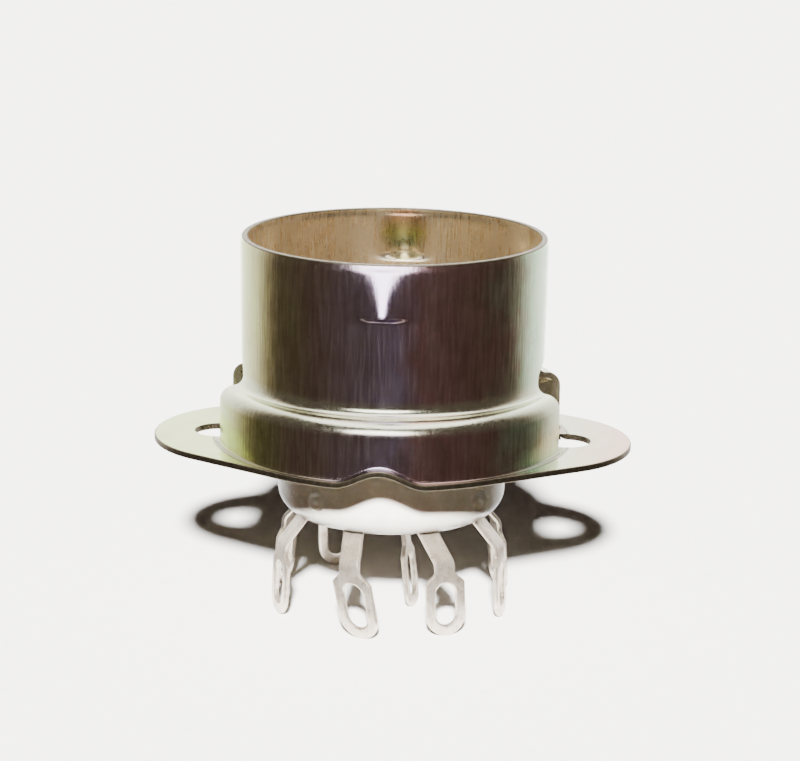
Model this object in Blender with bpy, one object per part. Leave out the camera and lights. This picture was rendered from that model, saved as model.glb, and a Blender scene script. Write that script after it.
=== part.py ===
"""Seven-pin miniature valve socket: a ceramic body with spring contacts, in a pressed steel shield base.

The axis of the socket is Z. The mounting ears point along X, and the flat ends of the solder lugs
stand on z = 0. Angles around the socket start at -Y and turn towards +X.
"""
from math import acos, atan2, cos, degrees, exp, pi, radians, sin, sqrt, tan

import bmesh
import bpy

MM = 0.001

# Main heights
FLANGE_TOP = 11.0 * MM        # upper face of the mounting ears
RIM_ABOVE_FLANGE = 13.05 * MM
SHOULDER_ABOVE_FLANGE = 3.75 * MM

# Shield base, pressed from one sheet
SHEET = 0.38 * MM
RIM_RADIUS = 9.71 * MM
BARREL_FOOT_RADIUS = 9.6 * MM
SKIRT_RADIUS = 11.1 * MM
LIP_RADIUS = 11.38 * MM
FOOT_FILLET = 0.56 * MM
SHOULDER_ROUND = 0.93 * MM
LIP_FILLET = 0.23 * MM
SEGMENTS = 72

# Mounting ears and their screw pockets
FIXING_CENTRES = 22.2 * MM
FIXING_HOLE_RADIUS = 1.6 * MM
EAR_CENTRE = 8.4 * MM
EAR_RADIUS = 6.85 * MM
POCKET_RADIUS = 3.15 * MM
POCKET_WALL_TOP = 3.1 * MM
WINDOW_SPRING = 4.58 * MM     # the window's sides are straight up to here
WINDOW_CROWN = 0.88 * MM      # and its arched top rises by this much
WINDOW_CROWN_TURNS = (25, 45, 62, 76)
POCKET_CUT_REACH = 0.2 * MM   # the pocket's cut goes this far beyond the skirt, just inside the lip

# Two bumps below the rim lock the shield can, which slides over the barrel
RIM_CURL = 0.15 * MM          # the sheet is drawn in at its upper edge
RIM_CURL_HEIGHT = 0.6 * MM
BUMP_HEIGHT = 0.9 * MM
BUMP_START = 0.25 * MM        # below the rim, where the ramp of a bump starts
BUMP_DROP = 3.05 * MM         # below the rim, where the ramp is highest
BUMP_STEP = 0.5 * MM          # and the height of the steep step under it
BUMP_SPREAD_AT_RIM = 1.6 * MM
BUMP_SPREAD_AT_FOOT = 1.1 * MM

# An arch in the lower lip at the front and the back, and a nib over each that holds the ceramic
ARCH_HEIGHT = 0.88 * MM
SKIRT_MIDDLE = 1.57 * MM      # up here the skirt takes part of the arch's lift
ARCH_SHARE_AT_MIDDLE = 0.3
ARCH_HALF_WIDTH = 2.78 * MM
NIB_HALF_WIDTH = 1.39 * MM
NIB_REACH = 1.29 * MM
NIB_BOTTOM = 1.25 * MM

# Ceramic body, heights from the upper face of the ears
CERAMIC_TOP = 3.52 * MM       # the seat of the tube, as wide as the boss
COLLAR_TOP = 3.05 * MM
COLLAR_BOTTOM = 1.8 * MM
COLLAR_RADIUS = 10.4 * MM
COLLAR_ROUND = 0.2 * MM
BOSS_RADIUS = 7.27 * MM
BOSS_BOTTOM = -4.8 * MM
BOSS_ROUND = 1.6 * MM
POCKET_CLEARANCE = 0.25 * MM
MOULD_PIT_RADIUS = 0.65 * MM
MOULD_PIT_DEPTH = 0.56 * MM
MOULD_PIT_HEIGHT = -2.87 * MM
MOULD_PIT_COUNT = 4
FIRST_MOULD_PIT_ANGLE = -126.5

# Seven of eight places, 45 degrees apart, on the standard pin circle
PIN_CIRCLE_RADIUS = 9.53 / 2 * MM
PIN_HOLE_RADIUS = 0.65 * MM
PLACE_COUNT = 8
PLACE_STEP = 360 / PLACE_COUNT
CONTACT_COUNT = 7
FIRST_CONTACT_ANGLE = -155.0
CAVITY_INNER = 3.24 * MM
CAVITY_OUTER = 6.5 * MM
CAVITY_HALF_WIDTH = 0.93 * MM
CAVITY_TOP = 2.17 * MM

# Contacts, folded from strip
STRIP = 0.32 * MM
WEB_RADIUS = 5.5 * MM
WEB_HALF_WIDTH = 0.57 * MM
JAW_TOP = 1.85 * MM
JAW_LEAD = 0.74 * MM          # the flared lead-in at the top of the jaw
JAW_BOTTOM = -3.42 * MM
JAW_REACH = 1.76 * MM
JAW_GRIP = 0.51 * MM
JAW_FLARE = 0.68 * MM
TAIL_RADIUS = 5.83 * MM       # below the boss the tail has turned outwards
TAIL_TOP = -4.62 * MM
TAIL_ROUND = 0.28 * MM
KNEE_RADIUS = 7.4 * MM        # where it turns down again
KNEE_HEIGHT = -6.4 * MM
KNEE_ROUND = 0.28 * MM
LUG_TOP = -6.75 * MM
LUG_SPLAY = 4.0               # degrees away from the axis
PIVOT_HEIGHT = -3.89 * MM

# Solder lug: a strip with an eye
NECK_HALF_WIDTH = 0.67 * MM
EYE_HALF_WIDTH = 1.31 * MM
EYE_LENGTH = 3.95 * MM
EYE_SHOULDER = 0.5 * MM
SLOT_HALF_WIDTH = 0.67 * MM
SLOT_START = 0.69 * MM
SLOT_LENGTH = 2.65 * MM
# How soldering and handling have bent each lug: shift to the side, lean and twist in degrees
LUG_BENDS = ((1.0 * MM, -2.0, 0.0), (0.0, 2.0, 0.0), (0.1 * MM, 3.0, 0.0), (0.5 * MM, 14.0, 0.0),
             (0.75 * MM, 1.0, 0.0), (0.25 * MM, -2.0, 10.0), (0.0, -1.0, 0.0))

# Centre spigot, rolled from strip, with a lug of its own
SPIGOT_RADIUS = 1.02 * MM
SPIGOT_WALL = 0.28 * MM
SPIGOT_HOLE_RADIUS = 1.25 * MM
SPIGOT_HEAD_RADIUS = 1.76 * MM
SPIGOT_HEAD = 0.32 * MM
SPIGOT_SEAT_RADIUS = 1.99 * MM
SPIGOT_SEAT_GAP = 0.1 * MM
SPIGOT_BOTTOM = -5.0 * MM
SPIGOT_LUG_ANGLE = 76.0
SPIGOT_LUG_SPLAY = 9.5
SPIGOT_LUG_LEAN = -8.0
SPIGOT_LUG_OVERLAP = 0.56 * MM
SPIGOT_EYE_SCALE = 0.86

CUT_MARGIN = 1.0 * MM         # cutting tools run past the faces they cut
JOIN_DISTANCE = 0.0001 * MM
SMOOTH_ANGLE = radians(32)


def clear_scene():
    for thing in list(bpy.data.objects):
        bpy.data.objects.remove(thing, do_unlink=True)


def plated_material(name, colour, roughness, metallic):
    material = bpy.data.materials.new(name)
    material.use_nodes = True
    shader = material.node_tree.nodes["Principled BSDF"]
    shader.inputs["Base Color"].default_value = (*colour, 1.0)
    shader.inputs["Roughness"].default_value = roughness
    shader.inputs["Metallic"].default_value = metallic
    return material


def add_object(name, work, material=None):
    """Turn a bmesh into a named object in the scene."""
    bmesh.ops.recalc_face_normals(work, faces=work.faces)
    mesh = bpy.data.meshes.new(name)
    work.to_mesh(mesh)
    work.free()
    thing = bpy.data.objects.new(name, mesh)
    bpy.context.collection.objects.link(thing)
    if material:
        mesh.materials.append(material)
        mesh.shade_smooth()
        mesh.set_sharp_from_angle(angle=SMOOTH_ANGLE)
    return thing


def as_tool(thing):
    thing.hide_render = True
    thing.display_type = "WIRE"
    return thing


def combine(thing, tools, operation):
    for tool in tools:
        modifier = thing.modifiers.new(f"{operation.lower()} {tool.name}", "BOOLEAN")
        modifier.operation = operation
        modifier.solver = "EXACT"
        modifier.object = as_tool(tool)


def around(angle, radius, height):
    """The point at an angle in degrees from -Y, turning towards +X."""
    turn = radians(angle)
    return (radius * sin(turn), -radius * cos(turn), height)


def prism(name, outline, low, high, crown=()):
    """A closed solid: a counter-clockwise outline of (x, y) points, drawn up from low to high.

    Above high, crown can add more levels, each a height and the share of the width along Y.
    """
    work = bmesh.new()
    levels = [(low, 1.0), (high, 1.0), *crown]
    rings = [[work.verts.new((x, y * share, z)) for x, y in outline] for z, share in levels]
    work.faces.new(rings[0][::-1])
    work.faces.new(rings[-1])
    for lower, upper in zip(rings, rings[1:]):
        for index in range(len(outline)):
            after = (index + 1) % len(outline)
            work.faces.new((lower[index], lower[after], upper[after], upper[index]))
    return add_object(name, work)


def cylinder(name, centre, radius, low, high, sides=24):
    turns = [2 * pi * (index + 0.5) / sides for index in range(sides)]
    outline = [(centre[0] + radius * cos(turn), centre[1] + radius * sin(turn)) for turn in turns]
    return prism(name, outline, low, high)


def turned(name, profile, sides, material=None):
    """A ring: a closed profile of (radius, height) points turned about Z."""
    work = bmesh.new()
    rings = []
    for index in range(sides):
        angle = 360 * index / sides
        rings.append([work.verts.new(around(angle, radius, height)) for radius, height in profile])
    for index in range(sides):
        here, there = rings[index], rings[(index + 1) % sides]
        for start in range(len(profile)):
            end = (start + 1) % len(profile)
            work.faces.new((here[start], there[start], there[end], here[end]))
    return add_object(name, work, material)


def quarter(centre, radius, start, end, steps):
    """Points on an arc, from start to end in degrees, in the plane of radius and height."""
    turns = [radians(start + (end - start) * step / steps) for step in range(steps + 1)]
    return [(centre[0] + radius * cos(turn), centre[1] + radius * sin(turn)) for turn in turns]


# ---------------------------------------------------------------- shield base

def flange_reach(angle):
    """Distance from the axis to the edge of the flange: a round lip with two round ears."""
    from_ear = abs((angle % 180) - 90)
    tangent = degrees(acos((LIP_RADIUS - EAR_RADIUS) / EAR_CENTRE))
    touch_x = EAR_CENTRE + EAR_RADIUS * cos(radians(tangent))
    touch_y = EAR_RADIUS * sin(radians(tangent))
    turn = radians(from_ear)
    if from_ear >= tangent:
        return LIP_RADIUS
    if from_ear >= degrees(atan2(touch_y, touch_x)):
        return LIP_RADIUS / cos(radians(tangent - from_ear))
    return EAR_CENTRE * cos(turn) + sqrt(EAR_RADIUS ** 2 - (EAR_CENTRE * sin(turn)) ** 2)


def bump_rise(angle, below_rim):
    """How far the wall is pressed out: a ramp that starts at the rim and ends in a steep step."""
    if not BUMP_START < below_rim < BUMP_DROP + BUMP_STEP:
        return 0.0
    run = min((below_rim - BUMP_START) / (BUMP_DROP - BUMP_START), 1.0)
    step = max((below_rim - BUMP_DROP) / BUMP_STEP, 0.0)
    height = BUMP_HEIGHT * run * (1 + cos(pi * step)) / 2
    spread = BUMP_SPREAD_AT_RIM + (BUMP_SPREAD_AT_FOOT - BUMP_SPREAD_AT_RIM) * run
    aside = RIM_RADIUS * radians((angle + 90) % 180 - 90)
    return height * exp(-((aside / spread) ** 2))


def arch_lift(angle):
    aside = SKIRT_RADIUS * radians((angle + 90) % 180 - 90)
    if abs(aside) >= ARCH_HALF_WIDTH:
        return 0.0
    return ARCH_HEIGHT * cos(pi * aside / (2 * ARCH_HALF_WIDTH)) ** 2


def shield_profile():
    """Rows of (radius, height above the flange, share of the arch's lift) from the rim down."""
    rows = []
    barrel_height = RIM_ABOVE_FLANGE - SHOULDER_ABOVE_FLANGE - FOOT_FILLET
    ramp = [BUMP_START + (BUMP_DROP - BUMP_START) * step / 4 for step in range(5)]
    for below in [0.0, *ramp, BUMP_DROP + BUMP_STEP / 2, BUMP_DROP + BUMP_STEP]:
        radius = RIM_RADIUS + (BARREL_FOOT_RADIUS - RIM_RADIUS) * below / barrel_height
        curl = RIM_CURL * max(1 - below / RIM_CURL_HEIGHT, 0.0) ** 2
        rows.append((radius - curl, RIM_ABOVE_FLANGE - below, 0.0))
    foot = (BARREL_FOOT_RADIUS + FOOT_FILLET, SHOULDER_ABOVE_FLANGE + FOOT_FILLET)
    rows += [(*point, 0.0) for point in quarter(foot, FOOT_FILLET, 180, 270, 3)]
    crown = (SKIRT_RADIUS - SHOULDER_ROUND, SHOULDER_ABOVE_FLANGE - SHOULDER_ROUND)
    rows += [(*point, 0.0) for point in quarter(crown, SHOULDER_ROUND, 90, 0, 3)]
    rows.append((SKIRT_RADIUS, SKIRT_MIDDLE, ARCH_SHARE_AT_MIDDLE))
    lip = (SKIRT_RADIUS + LIP_FILLET, LIP_FILLET)
    rows += [(*point, 1.0) for point in quarter(lip, LIP_FILLET, 180, 270, 3)]
    return rows


def shield_sheet(material):
    """The outer face of the pressing as a grid of rows and segments, given its thickness inwards."""
    work = bmesh.new()
    profile = shield_profile()
    rings = []
    for index in range(SEGMENTS):
        angle = 360 * index / SEGMENTS
        ring = []
        for radius, height, lift in profile:
            rise = bump_rise(angle, RIM_ABOVE_FLANGE - height)
            z = FLANGE_TOP + height + lift * arch_lift(angle)
            ring.append(work.verts.new(around(angle, radius + rise, z)))
        ring.append(work.verts.new(around(angle, flange_reach(angle), FLANGE_TOP + arch_lift(angle))))
        rings.append(ring)
    for index in range(SEGMENTS):
        here, there = rings[index], rings[(index + 1) % SEGMENTS]
        for row in range(len(here) - 1):
            work.faces.new((here[row], here[row + 1], there[row + 1], there[row]))
    sheet = add_object("shield_base", work, material)
    if sheet.data.polygons[0].normal.y > 0:
        sheet.data.flip_normals()
    thickness = sheet.modifiers.new("sheet", "SOLIDIFY")
    thickness.thickness = SHEET
    thickness.offset = -1.0
    thickness.use_even_offset = True
    return sheet


def pocket_outline(side, wall, edge):
    """A circle of radius wall about the screw, without what lies further than edge from the axis."""
    hole = FIXING_CENTRES / 2
    cross_x = (edge ** 2 - wall ** 2 + hole ** 2) / (2 * hole)
    cross_y = sqrt(edge ** 2 - cross_x ** 2)
    start = degrees(atan2(cross_y, cross_x - hole))
    points = [(hole + x, y) for x, y in quarter((0, 0), wall, start, 360 - start, 16)]
    swing = degrees(atan2(cross_y, cross_x))
    points += quarter((0, 0), edge, -swing, swing, 6)[1:-1]
    if side > 0:
        return points
    return [(-x, -y) for x, y in points]


def window_crown():
    """Levels of the window's arched top."""
    spring = FLANGE_TOP + WINDOW_SPRING
    turns = [radians(turn) for turn in WINDOW_CROWN_TURNS]
    return [(spring + WINDOW_CROWN * sin(turn), cos(turn)) for turn in turns]


def shield_base(material):
    sheet = shield_sheet(material)
    top = FLANGE_TOP
    additions, cuts = [], []
    for side, word in ((1, "right"), (-1, "left")):
        hole = (side * FIXING_CENTRES / 2, 0)
        wall = pocket_outline(side, POCKET_RADIUS + SHEET, SKIRT_RADIUS - SHEET / 2)
        additions.append(prism(f"{word} pocket wall", wall, top - SHEET, top + POCKET_WALL_TOP))
        inside = pocket_outline(side, POCKET_RADIUS, SKIRT_RADIUS + POCKET_CUT_REACH)
        cuts.append(prism(f"{word} pocket", inside, top, top + WINDOW_SPRING, window_crown()))
        low, high = top - CUT_MARGIN, top + CUT_MARGIN
        cuts.append(cylinder(f"{word} screw hole", hole, FIXING_HOLE_RADIUS, low, high))
    inner = SKIRT_RADIUS - SHEET
    for side, word in ((1, "back"), (-1, "front")):
        near, far = side * (inner - NIB_REACH), side * (inner + SHEET / 2)
        outline = [(-NIB_HALF_WIDTH, min(near, far)), (NIB_HALF_WIDTH, min(near, far)),
                   (NIB_HALF_WIDTH, max(near, far)), (-NIB_HALF_WIDTH, max(near, far))]
        low = top + NIB_BOTTOM
        additions.append(prism(f"{word} nib", outline, low, low + SHEET))
    combine(sheet, additions, "UNION")
    combine(sheet, cuts, "DIFFERENCE")
    return sheet


# ---------------------------------------------------------------- ceramic body

def contact_angles():
    return [FIRST_CONTACT_ANGLE + PLACE_STEP * index for index in range(CONTACT_COUNT)]


def ceramic_profile():
    base = FLANGE_TOP
    spigot_seat = base + CERAMIC_TOP - SPIGOT_HEAD - SPIGOT_SEAT_GAP
    return [
        (SPIGOT_HOLE_RADIUS, base + BOSS_BOTTOM),
        *quarter((BOSS_RADIUS - BOSS_ROUND, base + BOSS_BOTTOM + BOSS_ROUND), BOSS_ROUND, -90, 0, 6),
        (BOSS_RADIUS, base + COLLAR_BOTTOM),
        (COLLAR_RADIUS - COLLAR_ROUND, base + COLLAR_BOTTOM),
        (COLLAR_RADIUS, base + COLLAR_BOTTOM + COLLAR_ROUND),
        (COLLAR_RADIUS, base + COLLAR_TOP - COLLAR_ROUND),
        (COLLAR_RADIUS - COLLAR_ROUND, base + COLLAR_TOP),
        (BOSS_RADIUS, base + COLLAR_TOP),
        (BOSS_RADIUS, base + CERAMIC_TOP - COLLAR_ROUND),
        (BOSS_RADIUS - COLLAR_ROUND, base + CERAMIC_TOP),
        (SPIGOT_SEAT_RADIUS, base + CERAMIC_TOP),
        (SPIGOT_SEAT_RADIUS, spigot_seat),
        (SPIGOT_HOLE_RADIUS, spigot_seat),
    ]


def cavity_cutter(index, angle):
    """The slot that a contact sits in, open below."""
    corners = ((CAVITY_INNER, -CAVITY_HALF_WIDTH), (CAVITY_OUTER, -CAVITY_HALF_WIDTH),
               (CAVITY_OUTER, CAVITY_HALF_WIDTH), (CAVITY_INNER, CAVITY_HALF_WIDTH))
    turn = radians(angle - 90)
    outline = [(x * cos(turn) - y * sin(turn), x * sin(turn) + y * cos(turn)) for x, y in corners]
    low = FLANGE_TOP + BOSS_BOTTOM - CUT_MARGIN
    return prism(f"cavity {index}", outline, low, FLANGE_TOP + CAVITY_TOP)


def mould_pit_cutter(angle):
    """A shallow round pit in the side of the boss."""
    pit = cylinder(f"pit {angle:.0f}", (0, 0), MOULD_PIT_RADIUS, -MOULD_PIT_DEPTH, CUT_MARGIN, 16)
    pit.location = around(angle, BOSS_RADIUS, FLANGE_TOP + MOULD_PIT_HEIGHT)
    pit.rotation_euler = (pi / 2, 0, radians(angle))
    return pit


def ceramic_body(material):
    body = turned("ceramic_body", ceramic_profile(), SEGMENTS, material)
    cuts = []
    for index, angle in enumerate(contact_angles(), start=1):
        cuts.append(cavity_cutter(index, angle))
        x, y, _ = around(angle, PIN_CIRCLE_RADIUS, 0)
        low, high = FLANGE_TOP + CAVITY_TOP - CUT_MARGIN / 2, FLANGE_TOP + CERAMIC_TOP + CUT_MARGIN
        cuts.append(cylinder(f"pin hole {index}", (x, y), PIN_HOLE_RADIUS, low, high, 16))
    notch = POCKET_RADIUS + SHEET + POCKET_CLEARANCE
    low, high = FLANGE_TOP + COLLAR_BOTTOM - CUT_MARGIN, FLANGE_TOP + CERAMIC_TOP + CUT_MARGIN
    for side, word in ((1, "right"), (-1, "left")):
        cuts.append(cylinder(f"{word} collar notch", (side * FIXING_CENTRES / 2, 0), notch, low, high, 32))
    for index in range(MOULD_PIT_COUNT):
        cuts.append(mould_pit_cutter(FIRST_MOULD_PIT_ANGLE + 360 / MOULD_PIT_COUNT * index))
    combine(body, cuts, "DIFFERENCE")
    return body


# ---------------------------------------------------------------- contacts and lugs

def lug_widths(from_tip, scale=1.0):
    """Half width of the strip and of its slot, at a distance from the tip of the lug."""
    eye, slot = EYE_HALF_WIDTH * scale, SLOT_HALF_WIDTH * scale
    if from_tip < eye:
        half = sqrt(eye ** 2 - (eye - from_tip) ** 2)
    elif from_tip < EYE_LENGTH - EYE_SHOULDER:
        half = eye
    else:
        run = min((from_tip - EYE_LENGTH + EYE_SHOULDER) / EYE_SHOULDER, 1.0)
        half = eye + (NECK_HALF_WIDTH * scale - eye) * run
    along = from_tip - SLOT_START
    if not 0 < along < SLOT_LENGTH:
        return half, 0.0
    end = min(along, SLOT_LENGTH - along, slot)
    return half, sqrt(slot ** 2 - (slot - end) ** 2)


def lug_rows(scale=1.0):
    """Distances from the tip at which the strip has a row of points, from the neck to the tip."""
    eye, slot = EYE_HALF_WIDTH * scale, SLOT_HALF_WIDTH * scale
    tip_round = [eye * (1 - cos(radians(turn))) for turn in (15, 40, 65, 90)]
    slot_low = [SLOT_START + slot * (1 - cos(radians(turn))) for turn in (0, 45, 90)]
    slot_high = [SLOT_START + SLOT_LENGTH - slot * (1 - cos(radians(turn))) for turn in (0, 45, 90)]
    shoulder = [EYE_LENGTH - EYE_SHOULDER, EYE_LENGTH]
    return sorted({round(value, 7) for value in tip_round + slot_low + slot_high + shoulder}, reverse=True)


def strip_mesh(rows, leaves=0):
    """The middle surface of a strip.

    Each row is (left, slot left, slot right, right), as points, and the slot's two points are the
    same where the strip is whole. The first rows, as many as leaves says, start and end with one
    more point, the free edge of a leaf folded from the strip's side.
    """
    work = bmesh.new()
    made = [[work.verts.new(point) for point in row] for row in rows]
    for index in range(len(made) - 1):
        here, there = made[index], made[index + 1]
        if index >= leaves - 1 and len(here) > len(there):
            here = here[1:-1]
        middle = len(here) // 2 - 1
        for column in range(len(here) - 1):
            if column != middle:
                work.faces.new((here[column], here[column + 1], there[column + 1], there[column]))
    bmesh.ops.remove_doubles(work, verts=work.verts, dist=JOIN_DISTANCE)
    return work


def on_strip(angle, radius, height, aside, twist=0.0):
    """A point of a strip that stands across the radius at an angle, or turned by twist."""
    x, y, z = around(angle, radius, height)
    across = radians(angle + twist)
    return (x + aside * cos(across), y + aside * sin(across), z)


def plain_row(angle, radius, height, half, shift=0.0):
    """A row of the strip where it has no slot."""
    return [on_strip(angle, radius, height, shift + side) for side in (-half, 0, 0, half)]


def lug_points(top, angle, bend, splay, scale=1.0):
    """Rows of a lug that hangs from top, (radius, height), and ends at z = 0."""
    shift, lean, twist = bend
    outwards = radians(splay)
    lowest = STRIP / 2 * sin(outwards)
    tip_gap = lug_rows(scale)[-1]
    rows = []
    for from_tip in lug_rows(scale):
        half, slot = lug_widths(from_tip, scale)
        height = lowest + (from_tip - tip_gap) * cos(outwards)
        drop = top[1] - height
        middle = on_strip(angle, top[0] + drop * tan(outwards), height, shift + drop * tan(radians(lean)))
        across = radians(angle + twist)
        rows.append([(middle[0] + side * cos(across), middle[1] + side * sin(across), height)
                     for side in (-half, -slot, slot, half)])
    return rows


def contact_rows(angle, bend):
    """Rows of one contact, from the top of its jaw to the tip of its lug."""
    rows = []
    base = FLANGE_TOP
    free_edge = WEB_RADIUS - JAW_REACH
    for height, grip in ((JAW_TOP, JAW_FLARE), (JAW_TOP - JAW_LEAD, JAW_GRIP), (JAW_BOTTOM, JAW_GRIP)):
        z = base + height
        web = plain_row(angle, WEB_RADIUS, z, WEB_HALF_WIDTH)
        rows.append([on_strip(angle, free_edge, z, -grip), *web, on_strip(angle, free_edge, z, grip)])
    turns = [(WEB_RADIUS, TAIL_TOP + 2 * TAIL_ROUND), (WEB_RADIUS + TAIL_ROUND / 3, TAIL_TOP + TAIL_ROUND),
             (TAIL_RADIUS, TAIL_TOP), (KNEE_RADIUS - KNEE_ROUND, KNEE_HEIGHT + KNEE_ROUND),
             (KNEE_RADIUS - KNEE_ROUND / 4, KNEE_HEIGHT - KNEE_ROUND / 3), (KNEE_RADIUS, LUG_TOP)]
    for radius, height in turns:
        shift = bend[0] * (radius - WEB_RADIUS) / (KNEE_RADIUS - WEB_RADIUS)
        rows.append(plain_row(angle, radius, base + height, NECK_HALF_WIDTH, shift))
    return rows + lug_points((KNEE_RADIUS, base + LUG_TOP), angle, bend, LUG_SPLAY)


def give_thickness(thing, thickness):
    modifier = thing.modifiers.new("strip", "SOLIDIFY")
    modifier.thickness = thickness
    modifier.offset = 0.0
    modifier.use_even_offset = True
    modifier.use_quality_normals = True


def contact(number, angle, bend, material):
    """A spring contact, with its origin on the line about which it rocks in its cavity."""
    work = strip_mesh(contact_rows(angle, bend), leaves=3)
    pivot = around(angle, WEB_RADIUS, FLANGE_TOP + PIVOT_HEIGHT)
    bmesh.ops.translate(work, vec=[-value for value in pivot], verts=work.verts)
    strip = add_object(f"contact_{number}", work, material)
    strip.location = pivot
    give_thickness(strip, STRIP)
    return strip


def centre_spigot(material):
    """A short tube with a rolled head, from whose lower end a lug hangs."""
    base = FLANGE_TOP
    inner = SPIGOT_RADIUS - SPIGOT_WALL
    head_top = base + CERAMIC_TOP
    profile = [
        (inner, base + SPIGOT_BOTTOM),
        (SPIGOT_RADIUS, base + SPIGOT_BOTTOM),
        (SPIGOT_RADIUS, head_top - SPIGOT_HEAD),
        (SPIGOT_HEAD_RADIUS, head_top - SPIGOT_HEAD),
        (SPIGOT_HEAD_RADIUS, head_top - SPIGOT_HEAD / 3),
        (SPIGOT_HEAD_RADIUS - SPIGOT_HEAD / 2, head_top),
        (inner + SPIGOT_WALL, head_top),
        (inner, head_top - SPIGOT_HEAD),
    ]
    tube = turned("centre_spigot", profile, 24, material)
    root = SPIGOT_RADIUS - SPIGOT_WALL / 2
    half = NECK_HALF_WIDTH * SPIGOT_EYE_SCALE
    lug_top = (root, base + SPIGOT_BOTTOM - SPIGOT_WALL)
    bend = (0.0, SPIGOT_LUG_LEAN, 0.0)
    rows = [plain_row(SPIGOT_LUG_ANGLE, root, base + SPIGOT_BOTTOM + SPIGOT_LUG_OVERLAP, half),
            plain_row(SPIGOT_LUG_ANGLE, *lug_top, half)]
    rows += lug_points(lug_top, SPIGOT_LUG_ANGLE, bend, SPIGOT_LUG_SPLAY, SPIGOT_EYE_SCALE)
    lug = add_object("spigot lug", strip_mesh(rows))
    give_thickness(lug, SPIGOT_WALL)
    combine(tube, [lug], "UNION")
    return tube


def build():
    clear_scene()
    plated_steel = plated_material("passivated steel", (0.62, 0.60, 0.50), 0.28, 1.0)
    steatite = plated_material("glazed steatite", (0.90, 0.88, 0.83), 0.3, 0.0)
    tinned = plated_material("tinned brass", (0.72, 0.70, 0.66), 0.35, 1.0)
    shield_base(plated_steel)
    ceramic_body(steatite)
    for number, angle in enumerate(contact_angles(), start=1):
        contact(number, angle, LUG_BENDS[number - 1], tinned)
    centre_spigot(tinned)


build()
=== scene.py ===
"""Looks for a seven-pin miniature valve socket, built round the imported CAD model.

Lengths are in metres and angles in degrees. Z starts at the lug tips; the heights in the constants and in
the turned profiles start at the flange's top face. Angles around the socket start at -Y, towards +X.
"""
from math import acos, atan2, cos, degrees, exp, hypot, pi, radians, sin, sqrt, tan

import bmesh
import bpy
from mathutils import Matrix, Vector


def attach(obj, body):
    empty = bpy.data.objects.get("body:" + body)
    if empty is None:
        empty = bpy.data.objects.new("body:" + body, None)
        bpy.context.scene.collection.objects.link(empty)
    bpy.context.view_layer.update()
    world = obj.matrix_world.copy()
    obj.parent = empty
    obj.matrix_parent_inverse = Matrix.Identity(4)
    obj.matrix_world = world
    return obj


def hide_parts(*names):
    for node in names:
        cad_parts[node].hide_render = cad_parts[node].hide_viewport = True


MM = 0.001

# The CAD model's dimensions, as in its source
FLANGE_TOP = 11.0 * MM         # above the lug tips
RIM_ABOVE_FLANGE = 13.05 * MM
SHOULDER_ABOVE_FLANGE = 3.75 * MM
SHEET = 0.38 * MM
RIM_RADIUS = 9.71 * MM
BARREL_FOOT_RADIUS = 9.6 * MM
SKIRT_RADIUS = 11.1 * MM
LIP_RADIUS = 11.38 * MM
FOOT_FILLET = 0.56 * MM
SHOULDER_ROUND = 0.93 * MM
LIP_FILLET = 0.23 * MM
BARREL_HEIGHT = RIM_ABOVE_FLANGE - SHOULDER_ABOVE_FLANGE - FOOT_FILLET
FIXING_CENTRES = 22.2 * MM
FIXING_HOLE_RADIUS = 1.6 * MM
EAR_CENTRE = 8.4 * MM
EAR_RADIUS = 6.85 * MM
POCKET_RADIUS = 3.15 * MM
POCKET_WALL_TOP = 3.1 * MM
WINDOW_SPRING = 4.58 * MM
WINDOW_CROWN = 0.88 * MM
POCKET_CUT_REACH = 0.2 * MM
RIM_CURL = 0.15 * MM
RIM_CURL_HEIGHT = 0.6 * MM
BUMP_HEIGHT = 0.9 * MM
BUMP_START = 0.25 * MM
BUMP_DROP = 3.05 * MM
BUMP_STEP = 0.5 * MM
BUMP_SPREAD_AT_RIM = 1.6 * MM
BUMP_SPREAD_AT_FOOT = 1.1 * MM
ARCH_HEIGHT = 0.88 * MM
ARCH_HALF_WIDTH = 2.78 * MM
ARCH_FALL_OFF = 1.65           # how fast the arch's lift fades up the skirt
NIB_HALF_WIDTH = 1.39 * MM
NIB_REACH = 1.29 * MM
NIB_BOTTOM = 1.25 * MM
CERAMIC_TOP = 3.52 * MM
COLLAR_TOP = 3.05 * MM
COLLAR_BOTTOM = 1.8 * MM
COLLAR_RADIUS = 10.4 * MM
COLLAR_ROUND = 0.2 * MM
BOSS_RADIUS = 7.27 * MM
BOSS_BOTTOM = -4.8 * MM
BOSS_ROUND = 1.6 * MM
POCKET_CLEARANCE = 0.25 * MM
MOULD_PIT_RADIUS = 0.65 * MM
MOULD_PIT_DEPTH = 0.56 * MM
MOULD_PIT_HEIGHT = -2.87 * MM
MOULD_PIT_COUNT = 4
FIRST_MOULD_PIT_ANGLE = -126.5
PIN_CIRCLE_RADIUS = 9.53 / 2 * MM
PIN_HOLE_RADIUS = 0.65 * MM
CONTACT_ANGLES = [-155.0 + 45.0 * index for index in range(7)]
CAVITY_INNER = 3.24 * MM
CAVITY_OUTER = 6.5 * MM
CAVITY_HALF_WIDTH = 0.93 * MM
CAVITY_TOP = 2.17 * MM
STRIP = 0.32 * MM
WEB_RADIUS = 5.5 * MM
WEB_HALF_WIDTH = 0.57 * MM
JAW_TOP = 1.85 * MM
JAW_LEAD = 0.74 * MM
JAW_BOTTOM = -3.42 * MM
JAW_REACH = 1.76 * MM
JAW_GRIP = 0.51 * MM
JAW_FLARE = 0.68 * MM
TAIL_CORNER = (5.5 * MM, -4.24 * MM)      # radius and height where the tail turns outwards
KNEE_CORNER = (7.377 * MM, -6.418 * MM)   # and where it turns down again
TAIL_BEND_RADIUS = 0.6 * MM
KNEE_BEND_RADIUS = 0.8 * MM
KNEE_RADIUS = 7.4 * MM
LUG_TOP = -6.75 * MM
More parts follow.
